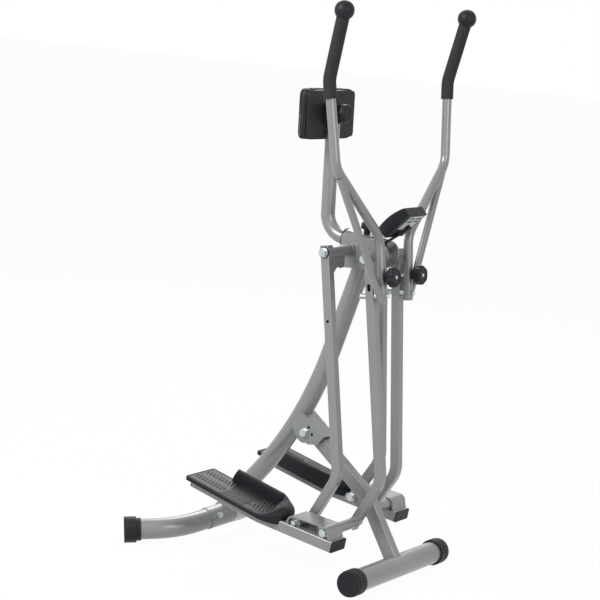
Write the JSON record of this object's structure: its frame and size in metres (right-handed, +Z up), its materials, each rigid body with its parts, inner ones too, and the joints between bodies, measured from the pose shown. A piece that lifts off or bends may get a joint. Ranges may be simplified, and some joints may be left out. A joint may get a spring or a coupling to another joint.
{
  "type": "cross trainer",
  "caption": "Folding air-walker cross trainer: bent main tube, two swinging pedal sides with upright handlebars, a belly pad on a bent post and a small console.",
  "frame": {"origin": "on the floor, under the middle of the part's bounding box", "axes": "+Z up, the user faces -Y, +X is the user's left"},
  "size_m": [0.6136, 0.7566, 1.4995],
  "materials": {
    "paint": "silver-grey metallic paint",
    "black_plastic": "fine grain",
    "foam": "closed-cell foam",
    "vinyl": "stitched vinyl",
    "zinc": "zinc plated",
    "grey_plastic": "matt",
    "screen": "smooth"
  },
  "bodies": {
    "frame": {"main_tube": "paint", "hub_plates": "paint", "post_guide": "paint", "post_bush": "black_plastic", "front_axle": "zinc", "axle_spacer": "paint", "rear_axles": "zinc", "axle_bolts": "zinc", "rear_sleeve": "paint", "rear_legs": "paint", "rear_foot_caps": "black_plastic", "rear_foot_bolts": "zinc", "fold_bracket": "paint", "fold_pivot": "zinc", "console_bracket": "black_plastic", "console_base": "black_plastic", "console_case": "black_plastic", "console_screen": "screen", "battery_cover": "grey_plastic"},
    "front_leg": {"front_leg": "paint", "front_foot_tube": "paint", "front_foot_caps": "black_plastic"},
    "lock_pin": {"lock_pin": "zinc"},
    "console_button": {"console_button": "grey_plastic"},
    "post_lock_knob": {"post_lock_knob": "black_plastic"},
    "pad_post": {"pad_post": "paint"},
    "pad": {"pad_bracket": "black_plastic", "pad_board": "black_plastic", "pad_cushion": "vinyl"},
    "pad_knob": {"pad_knob": "black_plastic"},
    "right_front_arm": {"right_front_arm": "paint", "right_front_bushes": "black_plastic", "right_handlebar": "paint", "right_brace": "paint", "right_grip": "foam", "right_ball": "black_plastic", "right_handle_bolt": "zinc"},
    "right_knob": {"right_knob": "black_plastic"},
    "right_rear_arm": {"right_rear_arm": "paint", "right_rear_bushes": "black_plastic"},
    "right_pedal": {"right_low_bolts": "zinc", "right_rail": "paint", "right_hoop": "paint", "right_pedal": "black_plastic", "right_rail_caps": "black_plastic"},
    "left_front_arm": {"left_front_arm": "paint", "left_front_bushes": "black_plastic", "left_handlebar": "paint", "left_brace": "paint", "left_grip": "foam", "left_ball": "black_plastic", "left_handle_bolt": "zinc"},
    "left_knob": {"left_knob": "black_plastic"},
    "left_rear_arm": {"left_rear_arm": "paint", "left_rear_bushes": "black_plastic"},
    "left_pedal": {"left_low_bolts": "zinc", "left_rail": "paint", "left_hoop": "paint", "left_pedal": "black_plastic", "left_rail_caps": "black_plastic"}
  },
  "joints": [
    {"name": "front_leg_fold", "type": "hinge", "parent": "frame", "child": "front_leg", "pos_m": [0, -0.04771, 0.34704], "axis": [1, 0, 0], "range_deg": [0, 70]},
    {"name": "lock_pin_pull", "type": "slide", "parent": "frame", "child": "lock_pin", "axis": [1, 0, 0], "range_m": [0, 0.012]},
    {"name": "console_button_press", "type": "slide", "parent": "frame", "child": "console_button", "axis": [0, -0.6975, -0.7165], "range_m": [0, 0.0015], "stiffness_N_per_m": 600, "springref_m": -0.001},
    {"name": "post_lock_turn", "type": "hinge", "parent": "frame", "child": "post_lock_knob", "pos_m": [0, -0.1695, 0.87337], "axis": [0, -0.1092, 0.994], "continuous": true},
    {"name": "post_slide", "type": "slide", "parent": "frame", "child": "pad_post", "axis": [0, 0.994, 0.1092], "range_m": [0, 0.03]},
    {"name": "pad_slide", "type": "slide", "parent": "pad_post", "child": "pad", "axis": [0, 0.0302, 0.9995], "range_m": [0, 0.04]},
    {"name": "pad_knob_turn", "type": "hinge", "parent": "pad", "child": "pad_knob", "pos_m": [0, -0.04064, 1.20361], "axis": [0, -0.9995, 0.0302], "continuous": true},
    {"name": "right_swing", "type": "hinge", "parent": "frame", "child": "right_front_arm", "pos_m": [0, -0.22997, 0.84633], "axis": [1, 0, 0], "range_deg": [-16.9, 28.1]},
    {"name": "right_rear_swing", "type": "hinge", "parent": "frame", "child": "right_rear_arm", "pos_m": [0, -0.14016, 0.85491], "axis": [1, 0, 0], "range_deg": [-16.9, 28.1]},
    {"name": "right_pedal_level", "type": "hinge", "parent": "right_front_arm", "child": "right_pedal", "pos_m": [0, -0.25319, 0.14964], "axis": [1, 0, 0], "range_deg": [-28.1, 16.9]},
    {"name": "right_knob_turn", "type": "hinge", "parent": "right_front_arm", "child": "right_knob", "pos_m": [-0.072, -0.23764, 0.79693], "axis": [0, -0.9881, 0.1535], "continuous": true},
    {"name": "left_swing", "type": "hinge", "parent": "frame", "child": "left_front_arm", "pos_m": [0, -0.22997, 0.84633], "axis": [1, 0, 0], "range_deg": [-20.5, 24.5]},
    {"name": "left_rear_swing", "type": "hinge", "parent": "frame", "child": "left_rear_arm", "pos_m": [0, -0.14016, 0.85491], "axis": [1, 0, 0], "range_deg": [-20.5, 24.5]},
    {"name": "left_pedal_level", "type": "hinge", "parent": "left_front_arm", "child": "left_pedal", "pos_m": [0, -0.20939, 0.14956], "axis": [1, 0, 0], "range_deg": [-24.5, 20.5]},
    {"name": "left_knob_turn", "type": "hinge", "parent": "left_front_arm", "child": "left_knob", "pos_m": [0.072, -0.23453, 0.79654], "axis": [0, -0.9958, 0.0912], "continuous": true}
  ],
  "couplings": [
    {"joint": "right_rear_swing", "follows": "right_swing", "ratio": 1},
    {"joint": "right_pedal_level", "follows": "right_swing", "ratio": -1},
    {"joint": "left_rear_swing", "follows": "left_swing", "ratio": 1},
    {"joint": "left_pedal_level", "follows": "left_swing", "ratio": -1}
  ]
}
